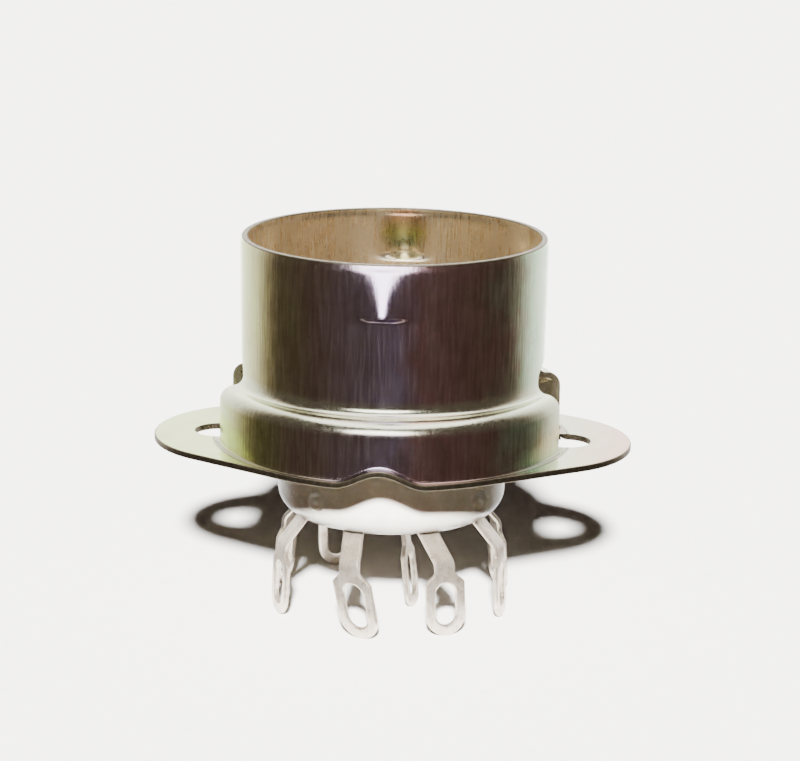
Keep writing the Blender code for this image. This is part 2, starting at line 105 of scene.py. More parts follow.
LUG_SPLAY = 4.0
NECK_HALF_WIDTH = 0.67 * MM
EYE_HALF_WIDTH = 1.31 * MM
EYE_LENGTH = 3.95 * MM
EYE_SHOULDER = 0.5 * MM
SLOT_HALF_WIDTH = 0.67 * MM
SLOT_START = 0.69 * MM
SLOT_LENGTH = 2.65 * MM
# Sideways shift, lean and twist of each contact's lug
LUG_BENDS = ((1.0 * MM, -2.0, 0.0), (0.0, 2.0, 0.0), (0.1 * MM, 3.0, 0.0), (0.5 * MM, 14.0, 0.0),
             (0.75 * MM, 1.0, 0.0), (0.25 * MM, -2.0, 10.0), (0.0, -1.0, 0.0))
SPIGOT_RADIUS = 1.02 * MM
SPIGOT_WALL = 0.28 * MM
SPIGOT_HOLE_RADIUS = 1.25 * MM
SPIGOT_HEAD_RADIUS = 1.76 * MM
SPIGOT_HEAD = 0.32 * MM
SPIGOT_SEAT_RADIUS = 1.99 * MM
SPIGOT_SEAT_GAP = 0.1 * MM
SPIGOT_BOTTOM = -5.0 * MM
SPIGOT_LUG_ANGLE = 76.0
SPIGOT_LUG_SPLAY = 9.5
SPIGOT_LUG_LEAN = -8.0
SPIGOT_LUG_OVERLAP = 0.56 * MM
SPIGOT_EYE_SCALE = 0.86

# Detail that only the looks have
OUTSIDE, INSIDE, EDGE = 0, 1, 2     # material slots of the sheet
RIGHT_AND_LEFT = ((1, "right"), (-1, "left"))
SHELL_SEGMENTS = 288
BUMP_ROW, BUMP_ROWS = 0.1 * MM, 38  # rows from the rim past the bumps
BARREL_ROWS, SKIRT_ROWS, EAR_ROWS = 16, 15, 5
SLOPE_REACH = 0.01 * MM
FOOT_STEPS, SHOULDER_STEPS, LIP_STEPS, CORNER_STEPS = 9, 12, 6, 4
BOSS_STEPS, BEND_STEPS, HEAD_STEPS = 14, 8, 6
POCKET_STEPS, POCKET_MOUTH_STEPS = 40, 16
CROWN_TURNS = (12, 24, 36, 48, 60, 70, 79)
BODY_SIDES, TUBE_SIDES = 192, 72
LARGE_HOLE_SIDES, SMALL_HOLE_SIDES = 96, 40
# The pit's section as shares of its radius and depth, and its cutter's flare
MOULD_PIT_PROFILE = ((0.0, 1.0), (0.45, 0.95), (0.75, 0.75), (0.92, 0.4), (1.0, 0.0))
MOULD_PIT_FLARE = 1.3
CORNER_ROUND = 0.08 * MM       # worn corners of the sheet
STRIP_EDGE = 0.15 * MM         # how far in the strip's edges are rounded
EDGE_POWER = 3
EDGE_SHARES = (0.0, 0.06, 0.2, 0.5, 1.0)   # where the rounding has grid lines
WEB_SHARES, ROOT_SHARES = (4.0, 16.0), (2.0, 3.0)   # and the rows that follow it
MIDDLE_SHARES = (0.15, 0.35, 0.6)
LEAF_EDGE_SHARES = (0.0, 0.2, 1.0)
JAW_LEAD_SHARES = (0.4, 0.6, 0.8, 0.9, 1.0, 1.1, 1.3)
EYE_TURNS, SLOT_TURNS = range(0, 91, 6), range(0, 91, 9)
SHOULDER_START = EYE_LENGTH - 1.25 * EYE_SHOULDER   # where the eye begins to narrow to the neck
SHOULDER_RUN, SHOULDER_ROWS = 1.5 * EYE_SHOULDER, 10
LUG_NECK = EYE_LENGTH + 0.3 * EYE_SHOULDER
TWIST_RUN = 0.9 * MM
TUBE_INNER_BREAK, TUBE_OUTER_BREAK = 0.05 * MM, 0.06 * MM
HEAD_UNDER_ROUND, HEAD_TOP_ROUND = 0.1 * MM, 0.16 * MM
CUT_MARGIN = 1.0 * MM
JOIN_DISTANCE = 0.0001 * MM
SMOOTH_ANGLE, STRIP_SMOOTH_ANGLE = 35, 60

# Camera, fitted to the photographed proportions
CAMERA_YAW = 3.6
CAMERA_ELEVATION = 14.25
CAMERA_ROLL = 0.85
CAMERA_DISTANCE = 160.0 * MM
CAMERA_TARGET = (0.46 * MM, 0.0, 14.62 * MM)
CAMERA_LENS = 113.1
SENSOR_WIDTH = 36.0
CAMERA_CLIP = 1.0 * MM


# ---- mesh helpers

def around(angle, radius, height):
    """A point of the socket by its angle."""
    turn = radians(angle)
    return Vector((radius * sin(turn), -radius * cos(turn), height))


def sideways(angle):
    return Vector((cos(radians(angle)), sin(radians(angle)), 0))


def arc(centre, radius, start, end, steps):
    """Points of an arc from start to end, in degrees."""
    turns = [radians(start + (end - start) * step / steps) for step in range(steps + 1)]
    return [(centre[0] + radius * cos(turn), centre[1] + radius * sin(turn)) for turn in turns]


def add_object(name, data):
    made = bpy.data.objects.new(name, data)
    bpy.context.scene.collection.objects.link(made)
    return made


def add_piece(name, work, materials):
    """Turn a bmesh into an object with its materials."""
    mesh = bpy.data.meshes.new(name)
    work.to_mesh(mesh)
    work.free()
    for material in materials:
        mesh.materials.append(material)
    return add_object(name, mesh)


def finish_shading(piece, angle=SMOOTH_ANGLE):
    piece.data.shade_smooth()
    piece.data.set_sharp_from_angle(angle=radians(angle))
    return piece


def prism(name, outline, low, high, materials, crown=()):
    """A solid: an outline drawn up from low to high, then through crown levels (height, share of Y)."""
    work = bmesh.new()
    levels = [(low, 1.0), (high, 1.0), *crown]
    rings = [[work.verts.new((x, y * share, z)) for x, y in outline] for z, share in levels]
    work.faces.new(rings[0][::-1])
    work.faces.new(rings[-1])
    for lower, upper in zip(rings, rings[1:]):
        for index in range(len(outline)):
            after = (index + 1) % len(outline)
            work.faces.new((lower[index], lower[after], upper[after], upper[index]))
    return add_piece(name, work, materials)


def cylinder(name, centre, radius, low, high, sides, materials):
    turns = [2 * pi * (index + 0.5) / sides for index in range(sides)]
    outline = [(centre[0] + radius * cos(turn), centre[1] + radius * sin(turn)) for turn in turns]
    return prism(name, outline, low, high, materials)


def weld(work):
    """Close a bmesh's seams, drop its empty faces and turn the rest outwards."""
    bmesh.ops.remove_doubles(work, verts=work.verts, dist=JOIN_DISTANCE)
    bmesh.ops.dissolve_degenerate(work, edges=work.edges, dist=JOIN_DISTANCE)
    bmesh.ops.recalc_face_normals(work, faces=work.faces)


def turned(name, profile, sides, materials):
    """A closed profile of (radius, height) points turned about Z."""
    work = bmesh.new()
    rings = [[work.verts.new(around(360 * index / sides, *point)) for point in profile]
             for index in range(sides)]
    for index in range(sides):
        here, there = rings[index], rings[(index + 1) % sides]
        for start in range(len(profile)):
            end = (start + 1) % len(profile)
            work.faces.new((here[start], there[start], there[end], here[end]))
    weld(work)
    return add_piece(name, work, materials)


def combine(piece, tools, operation):
    """Apply Boolean tools and remove them."""
    for tool in tools:
        modifier = piece.modifiers.new(tool.name, "BOOLEAN")
        modifier.operation = operation
        modifier.solver = "EXACT"
        modifier.material_mode = "TRANSFER"
        modifier.object = tool
    bpy.context.view_layer.update()
    depsgraph = bpy.context.evaluated_depsgraph_get()
    mesh = bpy.data.meshes.new_from_object(piece.evaluated_get(depsgraph))
    piece.modifiers.clear()
    piece.data = mesh
    for tool in tools:
        bpy.data.objects.remove(tool, do_unlink=True)


# ---- shield base

def flange_reach(angle):
    """Distance from the axis to the edge of the flange: a round lip with two round ears."""
    turn = radians(abs((angle % 180) - 90))
    tangent = acos((LIP_RADIUS - EAR_RADIUS) / EAR_CENTRE)
    touch = atan2(EAR_RADIUS * sin(tangent), EAR_CENTRE + EAR_RADIUS * cos(tangent))
    if turn >= tangent:
        return LIP_RADIUS
    if turn >= touch:
        return LIP_RADIUS / cos(tangent - turn)
    return EAR_CENTRE * cos(turn) + sqrt(EAR_RADIUS ** 2 - (EAR_CENTRE * sin(turn)) ** 2)


def bump_rise(angle, below_rim):
    """How far the wall is pressed out: a ramp that starts at the rim and ends in a steep step."""
    if not BUMP_START < below_rim < BUMP_DROP + BUMP_STEP:
        return 0.0
    run = min((below_rim - BUMP_START) / (BUMP_DROP - BUMP_START), 1.0)
    step = max((below_rim - BUMP_DROP) / BUMP_STEP, 0.0)
    height = BUMP_HEIGHT * run * (1 + cos(pi * step)) / 2
    spread = BUMP_SPREAD_AT_RIM + (BUMP_SPREAD_AT_FOOT - BUMP_SPREAD_AT_RIM) * run
    aside = RIM_RADIUS * radians((angle + 90) % 180 - 90)
    return height * exp(-((aside / spread) ** 2))


def arch_lift(angle):
    """How far the lip is raised by the arches at the front and the back."""
    aside = SKIRT_RADIUS * radians((angle + 90) % 180 - 90)
    if abs(aside) >= ARCH_HALF_WIDTH:
        return 0.0
    return ARCH_HEIGHT * cos(pi * aside / (2 * ARCH_HALF_WIDTH)) ** 2


def barrel_radius(below):
    """Outer radius of the barrel at a distance below the rim."""
    radius = RIM_RADIUS + (BARREL_FOOT_RADIUS - RIM_RADIUS) * below / BARREL_HEIGHT
    return radius - RIM_CURL * max(1 - below / RIM_CURL_HEIGHT, 0.0) ** 2


def arc_rows(centre, radius, start, end, steps, side, share):
    """Rows along an arc; side is 1 where its centre is in the sheet and -1 where it is outside."""
    return [(out, height, side * (out - centre[0]) / radius, side * (height - centre[1]) / radius, share)
            for out, height in arc(centre, radius, start, end, steps)]


def shell_rows():
    """The sheet's outer face, rim to lip: (radius, height, normal radius, normal height, arch share)."""
    belows = [CORNER_ROUND + BUMP_ROW * step for step in range(BUMP_ROWS)]
    rest = BARREL_HEIGHT - belows[-1]
    belows += [belows[-1] + rest * (step + 1) / BARREL_ROWS for step in range(BARREL_ROWS)]
    rows = []
    for below in belows:
        change = barrel_radius(below + SLOPE_REACH) - barrel_radius(below - SLOPE_REACH)
        slope = change / (2 * SLOPE_REACH)
        length = hypot(1, slope)
        rows.append((barrel_radius(below), RIM_ABOVE_FLANGE - below, 1 / length, slope / length, 0.0))
    foot = (BARREL_FOOT_RADIUS + FOOT_FILLET, SHOULDER_ABOVE_FLANGE + FOOT_FILLET)
    rows += arc_rows(foot, FOOT_FILLET, 180, 270, FOOT_STEPS, -1, 0.0)[1:]
    crown = (SKIRT_RADIUS - SHOULDER_ROUND, SHOULDER_ABOVE_FLANGE - SHOULDER_ROUND)
    rows += arc_rows(crown, SHOULDER_ROUND, 90, 0, SHOULDER_STEPS, 1, 0.0)
    drop = crown[1] - LIP_FILLET
    for step in range(1, SKIRT_ROWS):
        share = step / SKIRT_ROWS
        rows.append((SKIRT_RADIUS, crown[1] - drop * share, 1.0, 0.0, share ** ARCH_FALL_OFF))
    lip = (SKIRT_RADIUS + LIP_FILLET, LIP_FILLET)
    return rows + arc_rows(lip, LIP_FILLET, 180, 270, LIP_STEPS, -1, 1.0)


def shell_section(angle, rows):
    """The sheet's closed section at an angle: points (radius, height) and the material of each edge."""
    lift = arch_lift(angle)
    outer, inner = [], []
    for radius, height, normal_r, normal_z, share in rows:
        rise = bump_rise(angle, RIM_ABOVE_FLANGE - height)
        outer.append((radius + rise, height + share * lift))
        inner.append((radius + rise - normal_r * SHEET, height - normal_z * SHEET + share * lift))
    start, edge = outer[-1][0], flange_reach(angle) - CORNER_ROUND
    for step in range(1, EAR_ROWS + 1):
        radius = start + (edge - start) * step / EAR_ROWS
        outer.append((radius, lift))
        inner.append((radius, lift - SHEET))
    upper = arc((edge, lift - CORNER_ROUND), CORNER_ROUND, 90, 0, CORNER_STEPS)[1:]
    lower = arc((edge, lift - SHEET + CORNER_ROUND), CORNER_ROUND, 0, -90, CORNER_STEPS)[:-1]
    rim = RIM_ABOVE_FLANGE - CORNER_ROUND
    rim_in = arc((inner[0][0] + CORNER_ROUND, rim), CORNER_ROUND, 180, 90, CORNER_STEPS)[1:]
    rim_out = arc((outer[0][0] - CORNER_ROUND, rim), CORNER_ROUND, 90, 0, CORNER_STEPS)[:-1]
    inner[0] = (inner[0][0], rim)
    points = outer + upper + lower + inner[::-1] + rim_in + rim_out
    slots = [OUTSIDE] * (len(outer) - 1) + [EDGE] * (len(upper) + len(lower) + 1)
    slots += [INSIDE] * (len(inner) - 1) + [EDGE] * (len(rim_in) + len(rim_out) + 1)
    return points, slots


def shield_sheet(materials):
    """The pressed sheet, before its pockets and holes are cut."""
    work = bmesh.new()
    rows = shell_rows()
    rings, slots = [], []
    for index in range(SHELL_SEGMENTS):
        angle = 360 * index / SHELL_SEGMENTS
        points, slots = shell_section(angle, rows)
        rings.append([work.verts.new(around(angle, radius, FLANGE_TOP + height))
                      for radius, height in points])
    for index in range(SHELL_SEGMENTS):
        here, there = rings[index], rings[(index + 1) % SHELL_SEGMENTS]
        for start in range(len(here)):
            end = (start + 1) % len(here)
            face = work.faces.new((here[start], here[end], there[end], there[start]))
            face.material_index = slots[start]
    bmesh.ops.recalc_face_normals(work, faces=work.faces)
    return add_piece("shield_shell", work, materials)


def pocket_outline(side, wall, edge):
    """A circle of radius wall about the screw, without what lies further than edge from the axis."""
    hole = FIXING_CENTRES / 2
    cross_x = (edge ** 2 - wall ** 2 + hole ** 2) / (2 * hole)
    cross_y = sqrt(edge ** 2 - cross_x ** 2)
    start = degrees(atan2(cross_y, cross_x - hole))
    points = [(hole + x, y) for x, y in arc((0, 0), wall, start, 360 - start, POCKET_STEPS)]
    swing = degrees(atan2(cross_y, cross_x))
    points += arc((0, 0), edge, -swing, swing, POCKET_MOUTH_STEPS)[1:-1]
    return [(side * x, side * y) for x, y in points]


def screw_pockets(outside, edge, cut):
    """At each ear, the wall to add and the pocket and screw hole to cut."""
    top = FLANGE_TOP
    spring = top + WINDOW_SPRING
    crown = [(spring + WINDOW_CROWN * sin(radians(turn)), cos(radians(turn))) for turn in CROWN_TURNS]
    additions, cuts = [], []
    for side, word in RIGHT_AND_LEFT:
        wall = pocket_outline(side, POCKET_RADIUS + SHEET, SKIRT_RADIUS - SHEET / 2)
        additions.append(prism(f"{word}_wall", wall, top - SHEET, top + POCKET_WALL_TOP, [outside]))
        opening = pocket_outline(side, POCKET_RADIUS, SKIRT_RADIUS + POCKET_CUT_REACH)
        cuts.append(prism(f"{word}_pocket", opening, top, spring, [cut], crown))
        hole, low, high = (side * FIXING_CENTRES / 2, 0), top - CUT_MARGIN, top + CUT_MARGIN
        cuts.append(cylinder(f"{word}_hole", hole, FIXING_HOLE_RADIUS, low, high, LARGE_HOLE_SIDES, [edge]))
    return additions, cuts


def nib(side, word, material):
    """A tab turned in under the ceramic's collar."""
    within = SKIRT_RADIUS - SHEET
    near, far = sorted((side * (within - NIB_REACH), side * (within + SHEET / 2)))
    outline = [(-NIB_HALF_WIDTH, near), (NIB_HALF_WIDTH, near), (NIB_HALF_WIDTH, far), (-NIB_HALF_WIDTH, far)]
    low = FLANGE_TOP + NIB_BOTTOM
    return prism(f"{word}_nib", outline, low, low + SHEET, [material])


def shield_shell(outside, inside, edge, cut):
    sheet = shield_sheet([outside, inside, edge])
    additions, cuts = screw_pockets(outside, edge, cut)
    additions += [nib(side, word, inside) for side, word in ((1, "back"), (-1, "front"))]
    combine(sheet, additions, "UNION")
    combine(sheet, cuts, "DIFFERENCE")
    return finish_shading(sheet)


# ---- ceramic body

def ceramic_profile():
    seat = CERAMIC_TOP - SPIGOT_HEAD - SPIGOT_SEAT_GAP
    corner = COLLAR_ROUND
    profile = [(SPIGOT_HOLE_RADIUS, BOSS_BOTTOM)]
    profile += arc((BOSS_RADIUS - BOSS_ROUND, BOSS_BOTTOM + BOSS_ROUND), BOSS_ROUND, -90, 0, BOSS_STEPS)
    profile += [(BOSS_RADIUS, COLLAR_BOTTOM)]
    profile += arc((COLLAR_RADIUS - corner, COLLAR_BOTTOM + corner), corner, -90, 0, CORNER_STEPS)
    profile += arc((COLLAR_RADIUS - corner, COLLAR_TOP - corner), corner, 0, 90, CORNER_STEPS)
    profile += [(BOSS_RADIUS, COLLAR_TOP)]
    profile += arc((BOSS_RADIUS - corner, CERAMIC_TOP - corner), corner, 0, 90, CORNER_STEPS)
    profile += [(SPIGOT_SEAT_RADIUS, CERAMIC_TOP), (SPIGOT_SEAT_RADIUS, seat), (SPIGOT_HOLE_RADIUS, seat)]
    return [(radius, FLANGE_TOP + height) for radius, height in profile]


def cavity_cutter(index, angle, material):
    corners = ((CAVITY_INNER, -CAVITY_HALF_WIDTH), (CAVITY_OUTER, -CAVITY_HALF_WIDTH),
               (CAVITY_OUTER, CAVITY_HALF_WIDTH), (CAVITY_INNER, CAVITY_HALF_WIDTH))
    turn = radians(angle - 90)
    outline = [(x * cos(turn) - y * sin(turn), x * sin(turn) + y * cos(turn)) for x, y in corners]
    low = FLANGE_TOP + BOSS_BOTTOM - CUT_MARGIN
    return prism(f"cavity_{index}", outline, low, FLANGE_TOP + CAVITY_TOP, [material])


def mould_pit_cutter(index, material):
    """A shallow round pit in the side of the boss, with a rounded bottom."""
    angle = FIRST_MOULD_PIT_ANGLE + 360 / MOULD_PIT_COUNT * index
    above = CUT_MARGIN / 2
    profile = [(MOULD_PIT_RADIUS * share, -MOULD_PIT_DEPTH * depth) for share, depth in MOULD_PIT_PROFILE]
    profile += [(MOULD_PIT_RADIUS * MOULD_PIT_FLARE, above), (0.0, above)]
    pit = turned(f"pit_{index}", profile, SMALL_HOLE_SIDES, [material])
    pit.location = around(angle, BOSS_RADIUS, FLANGE_TOP + MOULD_PIT_HEIGHT)
    pit.rotation_euler = (pi / 2, 0, radians(angle))
    return pit


def ceramic_molding(material):
    body = turned("ceramic_molding", ceramic_profile(), BODY_SIDES, [material])
    cuts = []
    high = FLANGE_TOP + CERAMIC_TOP + CUT_MARGIN
    for index, angle in enumerate(CONTACT_ANGLES, start=1):
        cuts.append(cavity_cutter(index, angle, material))
        centre = around(angle, PIN_CIRCLE_RADIUS, 0)[:2]
        low = FLANGE_TOP + CAVITY_TOP - CUT_MARGIN / 2
        tool = cylinder(f"pin_hole_{index}", centre, PIN_HOLE_RADIUS, low, high, SMALL_HOLE_SIDES, [material])
        cuts.append(tool)
    notch = POCKET_RADIUS + SHEET + POCKET_CLEARANCE
    low = FLANGE_TOP + COLLAR_BOTTOM - CUT_MARGIN
    for side, word in RIGHT_AND_LEFT:
        centre = (side * FIXING_CENTRES / 2, 0)
        cuts.append(cylinder(f"{word}_notch", centre, notch, low, high, LARGE_HOLE_SIDES, [material]))
    cuts += [mould_pit_cutter(index, material) for index in range(MOULD_PIT_COUNT)]
    combine(body, cuts, "DIFFERENCE")
    return finish_shading(body)


# ---- contacts

def edge_steps(width):
    """Distances in from an edge, for a grid that follows its rounding."""
    scale = min(1.0, width / (2 * STRIP_EDGE))
    return [STRIP_EDGE * share * scale for share in EDGE_SHARES]


def half_thickness(thickness, from_edge):
    """Half of the strip's thickness at a distance from its nearest edge, with rounded edges."""
    run = 1 - min(max(from_edge, 0.0) / STRIP_EDGE, 1.0)
    return thickness / 2 * (1 - run ** EDGE_POWER) ** (1 / EDGE_POWER)


def pillow(work, grid, thickness):
    """A strip: a grid of (middle point, normal, distance from the edge), thinned out to its edges."""
    for sign in (1, -1):
        side = [[work.verts.new(point + normal * sign * half_thickness(thickness, gap))
                 for point, normal, gap in row] for row in grid]
        for here, there in zip(side, side[1:]):
            for column in range(len(here) - 1):
                corners = (here[column], here[column + 1], there[column + 1], there[column])
                work.faces.new(corners[::sign])


def lug_half_width(from_tip, scale):
    """A round eye that narrows to the neck over the shoulder."""
    eye, neck = EYE_HALF_WIDTH * scale, NECK_HALF_WIDTH * scale
    if from_tip < eye:
        return sqrt(max(eye ** 2 - (eye - from_tip) ** 2, 0.0))
    run = min(max((from_tip - SHOULDER_START) / SHOULDER_RUN, 0.0), 1.0)
    return eye + (neck - eye) * run * run * (3 - 2 * run)


def slot_half_width(from_tip, scale):
    slot = SLOT_HALF_WIDTH * scale
    along = from_tip - SLOT_START
    if not 0 < along < SLOT_LENGTH:
        return 0.0
    end = min(along, SLOT_LENGTH - along, slot)
    return sqrt(slot ** 2 - (slot - end) ** 2)


def edge_gap(aside, from_tip, scale):
    """Distance from a point of the lug to the nearest edge of the strip or its slot."""
    eye, slot = EYE_HALF_WIDTH * scale, SLOT_HALF_WIDTH * scale
    outer = lug_half_width(from_tip, scale) - abs(aside)
    if from_tip < eye:
        outer = eye - hypot(aside, eye - from_tip)
    low, high = SLOT_START + slot, SLOT_START + SLOT_LENGTH - slot
    inner = hypot(aside, max(low - from_tip, 0.0, from_tip - high)) - slot
    return min(outer, inner)


def lug_stations(scale):
    """Distances from the tip of the lug at which the strip has a row."""
    eye, slot = EYE_HALF_WIDTH * scale, SLOT_HALF_WIDTH * scale
    top = SLOT_START + SLOT_LENGTH
    stations = [eye * (1 - cos(radians(turn))) for turn in EYE_TURNS]
    for turn in SLOT_TURNS:
        run = slot * (1 - cos(radians(turn)))
        stations += [SLOT_START + run, top - run]
    for share in EDGE_SHARES[1:]:
        stations += [SLOT_START - STRIP_EDGE * share, top + STRIP_EDGE * share]
    stations += [SHOULDER_START + SHOULDER_RUN * step / SHOULDER_ROWS for step in range(SHOULDER_ROWS + 1)]
    return sorted({round(value, 8) for value in stations}, reverse=True)


def fillet_path(points, radii, steps):
    """A path of (radius, height) points whose inner corners are rounded."""
    path = [Vector(points[0])]
    for index, radius in enumerate(radii, start=1):
        corner = Vector(points[index])
        back = (Vector(points[index - 1]) - corner).normalized()
        ahead = (Vector(points[index + 1]) - corner).normalized()
        half = acos(max(-1.0, min(1.0, back.dot(ahead)))) / 2
        reach = radius / tan(half)
        centre = corner + (back + ahead).normalized() * radius / sin(half)
        first, last = corner + back * reach, corner + ahead * reach
        for step in range(steps + 1):
            arm = (first - centre).lerp(last - centre, step / steps).normalized()
            path.append(centre + arm * radius)
    path.append(Vector(points[-1]))
    return path


def strip_rows(angle, path, bend, top, splay, scale):
    """Rows from the strip's upper end to the lug's tip: (middle point, across, half width, slot, from tip).

    The path is the strip above the lug, and the lug's slope starts from top.
    """
    shift, lean, twist = bend
    rows = []
    knee_run = top[0] - path[0][0]
    across = sideways(angle)
    for radius, height in path:
        share = (radius - path[0][0]) / knee_run if knee_run else 0.0
        middle = around(angle, radius, height) + across * shift * share
        rows.append((middle, across, NECK_HALF_WIDTH * scale, 0.0, None))
    outwards = radians(splay)
    for from_tip in lug_stations(scale):
        height = from_tip * cos(outwards)
        drop = top[1] - height
        turned_to = angle + twist * min(max(drop / TWIST_RUN, 0.0), 1.0)
        middle = around(angle, top[0] + drop * tan(outwards), height)
        middle += across * (shift + drop * tan(radians(lean)))
        half, slot = lug_half_width(from_tip, scale), slot_half_width(from_tip, scale)
        rows.append((middle, sideways(turned_to), half, slot, from_tip))
    return rows


def strip_grids(rows, scale):
    """The strip's left and right halves as grids for pillow()."""
    start = rows[0][0]
    grids = ([], [])
    for index, (middle, across, half, slot, from_tip) in enumerate(rows):
        before, after = rows[max(index - 1, 0)][0], rows[min(index + 1, len(rows) - 1)][0]
        normal = across.cross(after - before).normalized()
        inner = edge_steps(half - slot)
        near, far = slot + inner[-1], half - inner[-1]
        columns = [slot + step for step in inner]
        columns += [near + (far - near) * share for share in MIDDLE_SHARES]
        columns += [half - step for step in inner[::-1]]
        for grid, sign in zip(grids, (1, -1)):
            row = []
            for aside in columns:
                gap = half - aside if from_tip is None else edge_gap(aside, from_tip, scale)
                gap = min(gap, (middle - start).length)
                row.append((middle + across * aside * sign, normal, gap))
            grid.append(row)
    return grids


def leaf_grid(angle, side):
    """One leaf of the jaw, folded from the side of the web."""
    steps = [STRIP_EDGE * share for share in LEAF_EDGE_SHARES]
    heights = [JAW_TOP - step for step in steps]
    heights += [JAW_TOP - JAW_LEAD * share for share in JAW_LEAD_SHARES]
    heights += [JAW_BOTTOM + step for step in steps[::-1]]
    depths = steps + [JAW_REACH / 2] + [JAW_REACH - step for step in steps[::-1]]
    grid = []
    across = sideways(angle)
    for height in heights:
        lead = max(height - JAW_TOP + JAW_LEAD, 0.0) / JAW_LEAD
        grip = JAW_GRIP + (JAW_FLARE - JAW_GRIP) * lead * lead
        row = []
        for depth in depths:
            aside = WEB_HALF_WIDTH + (grip - WEB_HALF_WIDTH) * depth / JAW_REACH
            point = around(angle, WEB_RADIUS - depth, FLANGE_TOP + height) + across * aside * side
            gap = min(depth, JAW_REACH - depth, JAW_TOP - height, height - JAW_BOTTOM)
            row.append((point, across, gap))
        grid.append(row)
    return grid


def contact_strip(number, angle, material):
    """A contact: its web, tail, knee and lug in one strip, and the two leaves of its jaw."""
    top = (KNEE_RADIUS, FLANGE_TOP + LUG_TOP)
    last = (top[0] + (top[1] - LUG_NECK) * tan(radians(LUG_SPLAY)), LUG_NECK)
    corners = [(radius, FLANGE_TOP + level)
               for radius, level in ((WEB_RADIUS, JAW_TOP), TAIL_CORNER, KNEE_CORNER)]
    path = fillet_path(corners + [last], (TAIL_BEND_RADIUS, KNEE_BEND_RADIUS), BEND_STEPS)
    lead = [path[0] - Vector((0, STRIP_EDGE * share)) for share in (*EDGE_SHARES[1:], *WEB_SHARES)]
    rows = strip_rows(angle, path[:1] + lead + path[1:-1], LUG_BENDS[number - 1], top, LUG_SPLAY, 1.0)
    work = bmesh.new()
    for grid in (*strip_grids(rows, 1.0), leaf_grid(angle, 1), leaf_grid(angle, -1)):
        pillow(work, grid, STRIP)
    weld(work)
    return finish_shading(add_piece(f"contact_{number}_strip", work, [material]), STRIP_SMOOTH_ANGLE)


# ---- centre spigot

def spigot_tube(material):
    """An open tube with a rolled head."""
    inner, outer = SPIGOT_RADIUS - SPIGOT_WALL, SPIGOT_RADIUS
    under_head = CERAMIC_TOP - SPIGOT_HEAD
    under, over = HEAD_UNDER_ROUND, HEAD_TOP_ROUND
    profile = [(inner, SPIGOT_BOTTOM + TUBE_INNER_BREAK), (inner + TUBE_INNER_BREAK, SPIGOT_BOTTOM),
               (outer - TUBE_OUTER_BREAK, SPIGOT_BOTTOM), (outer, SPIGOT_BOTTOM + TUBE_OUTER_BREAK),
               (outer, under_head - TUBE_INNER_BREAK), (outer + TUBE_OUTER_BREAK, under_head)]
    profile += arc((SPIGOT_HEAD_RADIUS - under, under_head + under), under, -90, 0, CORNER_STEPS)
    profile += arc((SPIGOT_HEAD_RADIUS - over, CERAMIC_TOP - over), over, 0, 90, HEAD_STEPS)
    profile += arc((outer, CERAMIC_TOP - SPIGOT_WALL), SPIGOT_WALL, 90, 180, HEAD_STEPS)
    profile = [(radius, FLANGE_TOP + height) for radius, height in profile]
    return finish_shading(turned("spigot_tube", profile, TUBE_SIDES, [material]))


def spigot_lug(material):
    root = SPIGOT_RADIUS - SPIGOT_WALL / 2
    top = (root, FLANGE_TOP + SPIGOT_BOTTOM - SPIGOT_WALL)
    start = FLANGE_TOP + SPIGOT_BOTTOM + SPIGOT_LUG_OVERLAP
    heights = [start - STRIP_EDGE * share for share in (*EDGE_SHARES, *ROOT_SHARES)]
    path = [Vector((root, height)) for height in heights] + [Vector(top)]
    bend = (0.0, SPIGOT_LUG_LEAN, 0.0)
    rows = strip_rows(SPIGOT_LUG_ANGLE, path, bend, top, SPIGOT_LUG_SPLAY, SPIGOT_EYE_SCALE)
    work = bmesh.new()
    for grid in strip_grids(rows, SPIGOT_EYE_SCALE):
        pillow(work, grid, SPIGOT_WALL)
    weld(work)
    return finish_shading(add_piece("spigot_lug", work, [material]), STRIP_SMOOTH_ANGLE)


# ---- materials

MICRON = 0.001 * MM

# Noises: features in a millimetre, detail, roughness, distortion
CLOUDS, FINE_CLOUDS = (0.16, 3.0, 0.55, 0.4), (0.7, 4.0, 0.6, 0.3)
LINES = (1.0, 2.0, 0.6, 0.0)
TARNISH_PATCHES = (0.45, 5.0, 0.65, 0.6)
PLATING_SPECKS, PLATING_WEAR = (4.5, 2.0, 0.5), (1.1, 4.0, 0.6)
DENTS, GRAIN = (0.35, 2.0, 0.5), (14.0, 3.0, 0.6)
STREAKS = (1.0, 3.0, 0.6, 0.2)
MOTTLE, CERAMIC_SPECKS, GLAZE_WEAR = (0.8, 5.0, 0.6, 0.2), (6.0, 2.0, 0.5), (2.5, 3.0)
WAVES, PORES = (0.6, 2.0, 0.5), (9.0, 3.0, 0.6)
PATCHES, SCRATCHES = (1.3, 4.0, 0.65, 0.5), (1.0, 2.0, 0.5, 0.0)
FLUX_SPECKS, LUMPS = (5.0, 4.0, 0.65), (1.6, 2.0, 0.5)
SHEET_GRAIN = (0.9, 4.0, 0.6)

# Where the noises that make marks go from none to full
LINE_RANGE, TARNISH_RANGE, PLATING_SPECK_RANGE = (0.38, 0.62), (0.52, 0.72), (0.70, 0.76)
CERAMIC_SPECK_RANGE, SCRATCH_RANGE, FLUX_RANGE = (0.70, 0.75), (0.40, 0.60), (0.60, 0.70)

# Stretch and turn of the noises that have a direction
LINE_STRETCH, STREAK_STRETCH = (5.5, 5.5, 0.35), (2.6, 2.6, 0.9)
SCRATCH_STRETCH, SCRATCH_TURN = (9.0, 9.0, 1.1), (0.2, 0.35, 0.0)

